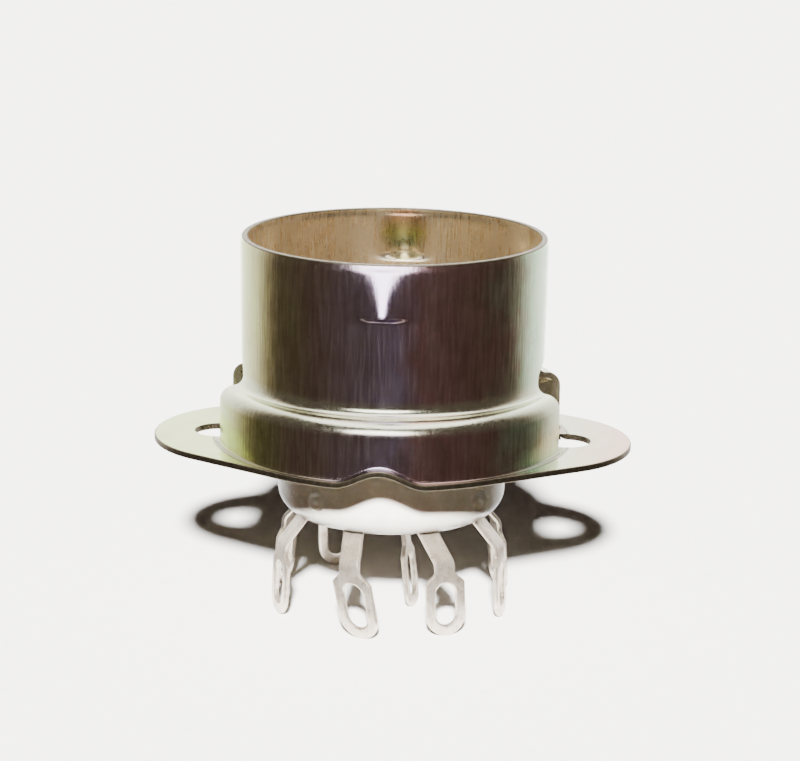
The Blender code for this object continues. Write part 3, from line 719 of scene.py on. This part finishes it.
# The passivate's hues from the left ear's end to the right one's
HUE_SPAN = 30.5
CLOUD_SWING, FINE_CLOUD_SWING = 0.16, 0.07
OUTER_HUES = ((0.0, (0.70, 0.84, 0.34)), (0.15, (0.68, 0.80, 0.34)), (0.24, (0.68, 0.72, 0.32)),
              (0.34, (0.58, 0.47, 0.38)), (0.44, (0.66, 0.54, 0.64)), (0.51, (0.72, 0.60, 0.84)),
              (0.58, (0.78, 0.50, 0.50)), (0.70, (0.60, 0.41, 0.36)), (0.78, (0.58, 0.80, 0.56)),
              (0.87, (0.76, 0.78, 0.54)), (1.0, (0.84, 0.50, 0.40)))
INNER_HUES = ((0.0, (0.80, 0.72, 0.50)), (0.25, (0.78, 0.65, 0.48)), (0.45, (0.93, 0.80, 0.59)),
              (0.6, (0.94, 0.82, 0.60)), (0.8, (0.78, 0.68, 0.49)), (1.0, (0.62, 0.60, 0.40)))
# The first colour here is a painted highlight on the shoulder band.
# The second colour here is painted shade in the corner where the skirt turns out into the lip.
SHOULDER_PAINTED_HIGHLIGHT_HUE, LIP_PAINTED_SHADE = (0.84, 0.88, 0.66), (0.15, 0.125, 0.10)
TARNISH_HUE, SPECK_HUE = (0.42, 0.36, 0.20), (0.10, 0.08, 0.06)
# Painted shade and reflected colour in the back bump's hollow: orange at its top through yellow to green at
# its foot
BUMP_HOLLOW_PAINTED_HUES = ((0.2, (0.42, 0.56, 0.30)), (0.42, (0.78, 0.74, 0.16)), (0.75, (0.80, 0.36, 0.22)))
BUMP_HOLLOW_DROP, BUMP_HOLLOW_REACH = 1.4, 2.0      # millimetres below the rim, and around

# Shares of the painted highlight and the painted shade by distance in millimetres: from the shoulder's top,
# and out from the skirt
SHOULDER_PAINTED_HIGHLIGHT_BAND = ((0.45, 0.85), (0.95, 0.0))
LIP_PAINTED_SHADE_BAND = ((0.02, 0.0), (0.08, 0.8), (0.30, 0.8), (0.42, 0.0))
BUMP_HOLLOW_PAINTED_FADE = ((0.45, 0.75), (1.0, 0.0))  # painted shade in the back bump's hollow, by distance over its reach

# Amounts on the shield's two faces: lines, tarnish, specks, least roughness, depth of the lines
OUTER_WEAR = (0.10, 0.35, 0.6, 0.12, 2.0 * MICRON)
INNER_WEAR = (0.05, 0.15, 0.25, 0.2, 1.5 * MICRON)
# What wear, lines, patches and flux add to the roughness
WEAR_SWING, LINE_SWING, PATCH_SWING, FLUX_SWING = 0.12, 0.05, 0.22, 0.25
SCRATCH_SHARE, SPECK_SHARE = 0.12, 0.5

# The first edge tones are a darker copy of the second: painted shade on the sheet's rim, flange edge and
# screw holes.
SHADED_EDGE_TONES = ((0.3, (0.17, 0.145, 0.10)), (0.55, (0.22, 0.19, 0.135)), (0.8, (0.28, 0.25, 0.19)))
PUNCHED_EDGE = ((0.3, (0.34, 0.30, 0.20)), (0.55, (0.62, 0.58, 0.44)), (0.8, (0.80, 0.78, 0.66)))
CERAMIC_TONES = ((0.3, (0.68, 0.64, 0.57)), (0.55, (0.75, 0.71, 0.64)), (0.8, (0.79, 0.76, 0.70)))
CERAMIC_SPECK_HUE, FLUX_HUE = (0.40, 0.33, 0.25), (0.20, 0.15, 0.11)
GLAZE_ROUGHNESS = ((0.3, 0.18), (0.7, 0.32))
EDGE_ROUGHNESS = ((0.3, 0.5), (0.8, 0.3))
CONTACT_TONES = ((0.28, (0.46, 0.38, 0.30)), (0.5, (0.68, 0.60, 0.50)), (0.75, (0.82, 0.75, 0.65)))
SPIGOT_TONES = ((0.28, (0.42, 0.34, 0.25)), (0.5, (0.62, 0.55, 0.46)), (0.75, (0.78, 0.72, 0.64)))
SHEET_TONES = ((0.3, (0.885, 0.88, 0.875)), (0.7, (0.915, 0.91, 0.905)))

# The Mix node's colour sockets
COLOUR_A, COLOUR_B, COLOUR_RESULT = 6, 7, 2


class Graph:
    """Short names for the shader nodes that the materials use."""

    def __init__(self, name):
        self.material = bpy.data.materials.new(name)
        self.material.use_nodes = True
        self.tree = self.material.node_tree
        self.shader = self.tree.nodes["Principled BSDF"]

    def node(self, kind, inputs={}, **settings):
        made = self.tree.nodes.new(kind)
        for key, value in settings.items():
            setattr(made, key, value)
        for key, value in inputs.items():
            self.feed(made.inputs[key], value)
        return made

    def feed(self, socket, value):
        if isinstance(value, bpy.types.NodeSocket):
            self.tree.links.new(value, socket)
        elif socket.type == "RGBA" and len(value) == 3:
            socket.default_value = (*value, 1.0)
        else:
            socket.default_value = value

    def surface(self, colour, roughness, normal):
        for name, value in (("Base Color", colour), ("Roughness", roughness), ("Normal", normal)):
            self.feed(self.shader.inputs[name], value)
        return self.material

    def fixed(self, values):
        """Set what is the same all over on the shader's own sockets."""
        for name, value in values.items():
            self.shader.inputs[name].default_value = value

    def place(self, scale=(1, 1, 1), turn=(0, 0, 0)):
        """Object coordinates in millimetres, stretched by scale."""
        coordinates = self.node("ShaderNodeTexCoord").outputs["Object"]
        inputs = {"Vector": coordinates, "Scale": tuple(value / MM for value in scale), "Rotation": turn}
        return self.node("ShaderNodeMapping", inputs).outputs[0]

    def noise(self, scale, detail=3.0, roughness=0.55, distortion=0.0, place=None):
        inputs = {"Vector": place or self.place(), "Scale": scale, "Detail": detail,
                  "Roughness": roughness, "Distortion": distortion}
        return self.node("ShaderNodeTexNoise", inputs).outputs["Fac"]

    def ramp(self, value, stops, smooth=False):
        made = self.node("ShaderNodeValToRGB", {"Fac": value})
        made.color_ramp.interpolation = "EASE" if smooth else "LINEAR"
        elements = made.color_ramp.elements
        while len(elements) < len(stops):
            elements.new(0.5)
        for element, (position, colour) in zip(elements, stops):
            element.position = position
            shade = (colour,) * 3 if isinstance(colour, float) else colour
            element.color = (*shade, 1.0)
        return made.outputs["Color"]

    def between(self, value, span):
        """From 0 at the start of the span to 1 at its end."""
        return self.ramp(value, ((span[0], 0.0), (span[1], 1.0)))

    def mix(self, share, first, second, blend="MIX"):
        made = self.node("ShaderNodeMix", data_type="RGBA", blend_type=blend)
        self.feed(made.inputs["Factor"], share)
        self.feed(made.inputs[COLOUR_A], first)
        self.feed(made.inputs[COLOUR_B], second)
        return made.outputs[COLOUR_RESULT]

    def math(self, operation, first, second=0.0, third=0.0):
        inputs = {0: first, 1: second, 2: third}
        return self.node("ShaderNodeMath", inputs, operation=operation).outputs[0]

    def length(self, vector):
        return self.node("ShaderNodeVectorMath", {0: vector}, operation="LENGTH").outputs["Value"]

    def bump(self, height, distance, normal=None):
        inputs = {"Height": height, "Distance": distance}
        if normal:
            inputs["Normal"] = normal
        return self.node("ShaderNodeBump", inputs).outputs["Normal"]

    def axis(self, index, place=None):
        return self.node("ShaderNodeSeparateXYZ", {"Vector": place or self.place()}).outputs[index]

    def light(self, colour, strength):
        """Shines for the camera and the reflections it sees, but lights no matt face."""
        depth = self.node("ShaderNodeLightPath").outputs["Diffuse Depth"]
        strength = self.math("MULTIPLY", self.math("LESS_THAN", depth, 0.5), strength)
        return self.node("ShaderNodeEmission", {"Color": colour, "Strength": strength}).outputs[0]

    def lamp(self, shine):
        """The material, with shine instead of the surface shader."""
        self.tree.nodes.remove(self.shader)
        self.feed(self.tree.nodes["Material Output"].inputs[0], shine)
        return self.material


def shoulder_painted_highlight(graph, colour):
    """Painted highlight: the drawn shoulder and the fillet above it have a paler, greener colour than the
    walls.
    """
    middle = (FLANGE_TOP + SHOULDER_ABOVE_FLANGE) / MM
    away = graph.math("ABSOLUTE", graph.math("SUBTRACT", graph.axis(2), middle))
    return graph.mix(graph.ramp(away, SHOULDER_PAINTED_HIGHLIGHT_BAND), colour, SHOULDER_PAINTED_HIGHLIGHT_HUE)


def lip_painted_shade(graph, colour):
    """Painted shade: darker in the corner where the skirt turns out into the lip."""
    out = graph.math("SUBTRACT", graph.length(graph.place((1, 1, 0))), SKIRT_RADIUS / MM)
    return graph.mix(graph.ramp(out, LIP_PAINTED_SHADE_BAND), colour, LIP_PAINTED_SHADE)


def bump_hollow_painted_shade(graph, colour):
    """Painted shade and painted reflection in the hollow of the back bump, running from orange through yellow
    to green.
    """
    middle = (0.0, RIM_RADIUS / MM, (FLANGE_TOP + RIM_ABOVE_FLANGE) / MM - BUMP_HOLLOW_DROP)
    offset = {0: graph.place(), 1: middle}
    offset = graph.node("ShaderNodeVectorMath", offset, operation="SUBTRACT").outputs[0]
    away = graph.math("DIVIDE", graph.length(offset), BUMP_HOLLOW_REACH)
    level = graph.math("MULTIPLY_ADD", graph.axis(2, offset), 0.5 / BUMP_HOLLOW_REACH, 0.5)
    return graph.mix(graph.ramp(away, BUMP_HOLLOW_PAINTED_FADE, smooth=True), colour, graph.ramp(level, BUMP_HOLLOW_PAINTED_HUES))


def passivated_steel(name, hues, wear, *overlays):
    """Zinc plated steel whose iridescent passivate drifts in hue across it."""
    graph = Graph(name)
    line_share, tarnish_share, speck_share, smoothest, line_depth = wear
    across = graph.math("MULTIPLY_ADD", graph.axis(0), 1 / HUE_SPAN, 0.5)
    for clouds, swing in ((CLOUDS, CLOUD_SWING), (FINE_CLOUDS, FINE_CLOUD_SWING)):
        drift = graph.math("SUBTRACT", graph.noise(*clouds), 0.5)
        across = graph.math("MULTIPLY_ADD", drift, swing, across)
    lines = graph.between(graph.noise(*LINES, graph.place(LINE_STRETCH)), LINE_RANGE)
    colour = graph.mix(line_share, graph.ramp(across, hues), lines, "OVERLAY")
    for overlay in overlays:
        colour = overlay(graph, colour)
    tarnish = graph.between(graph.noise(*TARNISH_PATCHES), TARNISH_RANGE)
    colour = graph.mix(graph.math("MULTIPLY", tarnish, tarnish_share), colour, TARNISH_HUE)
    specks = graph.between(graph.noise(*PLATING_SPECKS), PLATING_SPECK_RANGE)
    colour = graph.mix(graph.math("MULTIPLY", specks, speck_share), colour, SPECK_HUE)
    rough = graph.math("MULTIPLY_ADD", graph.noise(*PLATING_WEAR), WEAR_SWING, smoothest)
    rough = graph.math("MULTIPLY_ADD", lines, LINE_SWING, rough)
    normal = graph.bump(graph.noise(*DENTS), 40 * MICRON)
    normal = graph.bump(lines, line_depth, normal)
    normal = graph.bump(graph.noise(*GRAIN), 1.2 * MICRON, normal)
    graph.fixed({"Metallic": 1.0})
    return graph.surface(colour, rough, normal)


def sheared_steel(name, tones):
    """The edge that a punch leaves, streaked across the sheet."""
    graph = Graph(name)
    streaks = graph.noise(*STREAKS, graph.place(STREAK_STRETCH))
    graph.fixed({"Metallic": 1.0})
    return graph.surface(graph.ramp(streaks, tones), graph.ramp(streaks, EDGE_ROUGHNESS),
                         graph.bump(streaks, 10 * MICRON))


def steatite():
    """White glazed ceramic, faintly mottled, with brown specks."""
    graph = Graph("steatite")
    colour = graph.ramp(graph.noise(*MOTTLE), CERAMIC_TONES)
    specks = graph.between(graph.noise(*CERAMIC_SPECKS), CERAMIC_SPECK_RANGE)
    colour = graph.mix(graph.math("MULTIPLY", specks, SPECK_SHARE), colour, CERAMIC_SPECK_HUE)
    graph.fixed({"Coat Weight": 0.4, "Coat Roughness": 0.12,
                 "Subsurface Weight": 0.12, "Subsurface Scale": 0.6 * MM})
    waves = graph.bump(graph.noise(*WAVES), 30 * MICRON)
    normal = graph.bump(graph.noise(*PORES), 3 * MICRON, waves)
    return graph.surface(colour, graph.ramp(graph.noise(*GLAZE_WEAR), GLAZE_ROUGHNESS), normal)


def tinned_strip(name, tones, smoothest, metallic):
    """Tinned brass strip: a soft metal skin with dull patches, flux specks and fine scratches."""
    graph = Graph(name)
    patches = graph.noise(*PATCHES)
    colour = graph.ramp(patches, tones)
    scratches = graph.noise(*SCRATCHES, graph.place(SCRATCH_STRETCH, SCRATCH_TURN))
    scratches = graph.between(scratches, SCRATCH_RANGE)
    colour = graph.mix(SCRATCH_SHARE, colour, scratches, "OVERLAY")
    specks = graph.between(graph.noise(*FLUX_SPECKS), FLUX_RANGE)
    colour = graph.mix(graph.math("MULTIPLY", specks, SPECK_SHARE), colour, FLUX_HUE)
    graph.fixed({"Metallic": metallic})
    rough = graph.math("MULTIPLY_ADD", patches, PATCH_SWING, smoothest)
    rough = graph.math("MULTIPLY_ADD", specks, FLUX_SWING, rough)
    lumps = graph.bump(graph.noise(*LUMPS), 20 * MICRON)
    return graph.surface(colour, rough, graph.bump(scratches, 4 * MICRON, lumps))


def pale_floor():
    """A matt pale sheet that throws only a little of its light back at the part."""
    graph = Graph("pale_floor")
    gathered = graph.node("ShaderNodeLightPath").outputs["Is Diffuse Ray"]
    graph.fixed({"Roughness": 0.9, "Specular IOR Level": 0.0})
    sheet = graph.ramp(graph.noise(*SHEET_GRAIN), SHEET_TONES)
    graph.feed(graph.shader.inputs["Base Color"], graph.mix(gathered, sheet, FLOOR_BOUNCE))
    return graph.material


def window_material():
    """A soft light panel that fades out from its centre."""
    graph = Graph("soft_window")
    away = graph.length(graph.node("ShaderNodeTexCoord").outputs["Object"])
    limits = {"Value": away, "From Min": WINDOW_CORE, "From Max": WINDOW_EDGE}
    fall = graph.node("ShaderNodeMapRange", limits, interpolation_type="SMOOTHSTEP").outputs["Result"]
    clear = graph.node("ShaderNodeBsdfTransparent").outputs[0]
    blend = {0: fall, 1: graph.light(WINDOW_COLOUR, WINDOW_STRENGTH), 2: clear}
    return graph.lamp(graph.node("ShaderNodeMixShader", blend).outputs[0])


# ---- studio

# Reflections in front are dark and brighten towards the sides: (azimuth from the camera's, radiance)
CARD_LEVELS = ((0.0, 0.06), (90.0, 0.065), (98.0, 0.13), (108.0, 0.52), (118.0, 1.35),
               (135.0, 2.1), (155.0, 3.4))
CARD_TINT = (1.0, 0.74, 0.60)
PALE = (1.0, 0.985, 0.96)
TINT_STOPS = ((0.0, CARD_TINT), (0.62, CARD_TINT), (0.8, PALE))   # by the share of CARD_REACH
CARD_REACH = 155.0
CARD_STEPS = 40                # to each side
CARD_INNER, CARD_OUTER, CARD_LIFT = 13 * MM, 500 * MM, 0.2 * MM
FLAG_RADIUS, FLAG_TOP = 240 * MM, 62
DOME_RADIUS, DOME_STRENGTH = 1.5, 3.5
FLOOR_REACH = 1.6
FLOOR_BOUNCE = (0.017, 0.015, 0.013)
FILL = (0.036, 0.027, 0.022)
KEY_ELEVATION, KEY_AZIMUTH, KEY_STRENGTH, KEY_SPREAD = 33.5, 2.0, 38.0, 5.0
KEY_COLOUR, KEY_DISTANCE = (1.0, 0.975, 0.94), 0.3
WINDOW_ELEVATION, WINDOW_AZIMUTH, WINDOW_DISTANCE = 27.0, -4.0, 0.22
WINDOW_COLOUR, WINDOW_STRENGTH = (1.0, 0.98, 0.95), 8.0
WINDOW_CORE, WINDOW_EDGE = 30 * MM, 110 * MM
WINDOW_SCALE = (1.5, 0.75, 1)


def stage_piece(name, work, material, camera, diffuse):
    """A piece of the studio: is it seen, and is it in diffuse light and shadow?"""
    piece = add_piece(name, work, [material])
    piece.visible_camera = camera
    piece.visible_diffuse = diffuse
    piece.visible_shadow = diffuse
    piece.visible_transmission = camera
    return piece


def floor():
    work = bmesh.new()
    corners = ((-1, -1), (1, -1), (1, 1), (-1, 1))
    work.faces.new([work.verts.new((x * FLOOR_REACH, y * FLOOR_REACH, 0)) for x, y in corners])
    stage_piece("floor", work, pale_floor(), True, True)


def patch(rings):
    """A sheet through rings of points."""
    work = bmesh.new()
    made = [[work.verts.new(point) for point in ring] for ring in rings]
    for here, there in zip(made, made[1:]):
        for index in range(len(here) - 1):
            work.faces.new((here[index], here[index + 1], there[index + 1], there[index]))
    return work


def sector(reaches):
    """Rings of points over the card's azimuths, at each (radius, height)."""
    angles = [CAMERA_YAW - CARD_REACH + CARD_REACH * step / CARD_STEPS for step in range(2 * CARD_STEPS + 1)]
    return [[around(angle, reach, height) for angle in angles] for reach, height in reaches]


def towards(azimuth, elevation):
    return around(azimuth, cos(radians(elevation)), sin(radians(elevation)))


def card_material():
    """Shines by the levels above, according to the azimuth."""
    graph = Graph("studio_card")
    place = graph.node("ShaderNodeTexCoord").outputs["Object"]
    behind = graph.math("MULTIPLY", graph.axis(1, place), -1.0)
    azimuth = graph.math("DEGREES", graph.math("ARCTAN2", graph.axis(0, place), behind))
    aside = graph.math("ABSOLUTE", graph.math("SUBTRACT", azimuth, CAMERA_YAW))
    share = graph.math("DIVIDE", aside, CARD_REACH)
    top = CARD_LEVELS[-1][1]
    levels = graph.ramp(share, [(at / CARD_REACH, level / top) for at, level in CARD_LEVELS])
    return graph.lamp(graph.light(graph.ramp(share, TINT_STOPS), graph.math("MULTIPLY", levels, top)))


def cards():
    """A card on the floor, a flag that curves up in front, and a pale dome."""
    card = card_material()
    flat = [(CARD_INNER, CARD_LIFT), (CARD_OUTER, CARD_LIFT)]
    stage_piece("floor_card", patch(sector(flat)), card, False, False)
    turns = [radians(turn) for turn in range(0, FLAG_TOP + 1, 6)]
    rise = [(FLAG_RADIUS * cos(turn), FLAG_RADIUS * sin(turn)) for turn in turns]
    stage_piece("dark_flag", patch(sector(rise)), card, False, False)
    dome = [[towards(angle, turn) * DOME_RADIUS for angle in range(0, 361, 10)] for turn in range(-4, 91, 6)]
    graph = Graph("pale_backdrop")
    stage_piece("backdrop", patch(dome), graph.lamp(graph.light(PALE, DOME_STRENGTH)), True, False)


def soft_window():
    """The panel whose reflection is the bright patch on the bump and the shoulder."""
    window = patch([[(x * WINDOW_EDGE, y * WINDOW_EDGE, 0) for x in (-1, 1)] for y in (-1, 1)])
    piece = stage_piece("soft_window", window, window_material(), False, False)
    aim = towards(WINDOW_AZIMUTH, WINDOW_ELEVATION)
    piece.location = aim * WINDOW_DISTANCE + Vector((0, 0, FLANGE_TOP))
    piece.rotation_euler = aim.to_track_quat("Z", "Y").to_euler()
    piece.scale = WINDOW_SCALE


def lights():
    world = bpy.data.worlds.new("studio")
    bpy.context.scene.world = world
    world.use_nodes = True
    world.node_tree.nodes["Background"].inputs["Color"].default_value = (*FILL, 1.0)
    light = bpy.data.lights.new("key", "SUN")
    light.energy = KEY_STRENGTH
    light.angle = radians(KEY_SPREAD)
    light.color = KEY_COLOUR
    key = add_object("key", light)
    aim = towards(KEY_AZIMUTH, KEY_ELEVATION)
    key.rotation_euler = aim.to_track_quat("Z", "Y").to_euler()
    key.location = aim * KEY_DISTANCE
    key.visible_glossy = False


def studio():
    floor()
    cards()
    soft_window()
    lights()


def camera():
    data = bpy.data.cameras.new("camera")
    data.sensor_fit = "HORIZONTAL"
    data.sensor_width = SENSOR_WIDTH
    data.lens = CAMERA_LENS
    data.clip_start = CAMERA_CLIP
    eye = add_object("camera", data)
    yaw, tilt, roll = radians(CAMERA_YAW), radians(CAMERA_ELEVATION), radians(CAMERA_ROLL)
    forward = Vector((-sin(yaw) * cos(tilt), cos(yaw) * cos(tilt), -sin(tilt)))
    right = forward.cross(Vector((0, 0, 1))).normalized()
    up = right.cross(forward)
    right, up = cos(roll) * right + sin(roll) * up, cos(roll) * up - sin(roll) * right
    place = Matrix((right, up, -forward)).transposed().to_4x4()
    place.translation = Vector(CAMERA_TARGET) - forward * CAMERA_DISTANCE
    eye.matrix_world = place
    bpy.context.scene.camera = eye


# ---- the part

def fit(piece, body, node):
    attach(piece, body)
    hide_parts(node)


def build():
    # The outer face's overlays paint a highlight on the shoulder and shade in the corner where the skirt
    # turns out into the lip.
    outside = passivated_steel("passivated_steel", OUTER_HUES, OUTER_WEAR, shoulder_painted_highlight, lip_painted_shade)
    # The inner face's overlay paints shade and reflected colour in the back bump's hollow.
    inside = passivated_steel("passivated_steel_inside", INNER_HUES, INNER_WEAR, bump_hollow_painted_shade)
    # The first sheared steel paints shade on the rim, flange edge and screw holes; the second is the pocket
    # cuts' own colour.
    edge, cut = sheared_steel("shaded_edge", SHADED_EDGE_TONES), sheared_steel("punched_edge", PUNCHED_EDGE)
    fit(shield_shell(outside, inside, edge, cut), "base", "shield_base")
    fit(ceramic_molding(steatite()), "base", "ceramic_body")
    tinned = tinned_strip("tinned_contact", CONTACT_TONES, 0.20, 0.88)
    for number, angle in enumerate(CONTACT_ANGLES, start=1):
        strip = contact_strip(number, angle, tinned)
        fit(strip, f"contact_{number}_float", f"contact_{number}")
    dull = tinned_strip("tinned_spigot", SPIGOT_TONES, 0.24, 0.92)
    for piece in (spigot_tube(dull), spigot_lug(dull)):
        fit(piece, "base", "centre_spigot")


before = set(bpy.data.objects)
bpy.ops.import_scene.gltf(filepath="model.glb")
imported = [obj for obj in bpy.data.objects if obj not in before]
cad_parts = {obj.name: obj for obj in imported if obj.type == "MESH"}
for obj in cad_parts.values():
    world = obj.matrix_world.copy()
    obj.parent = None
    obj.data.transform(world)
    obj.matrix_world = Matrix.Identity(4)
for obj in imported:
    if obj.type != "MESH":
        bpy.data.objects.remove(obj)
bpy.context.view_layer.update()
camera()
studio()
build()
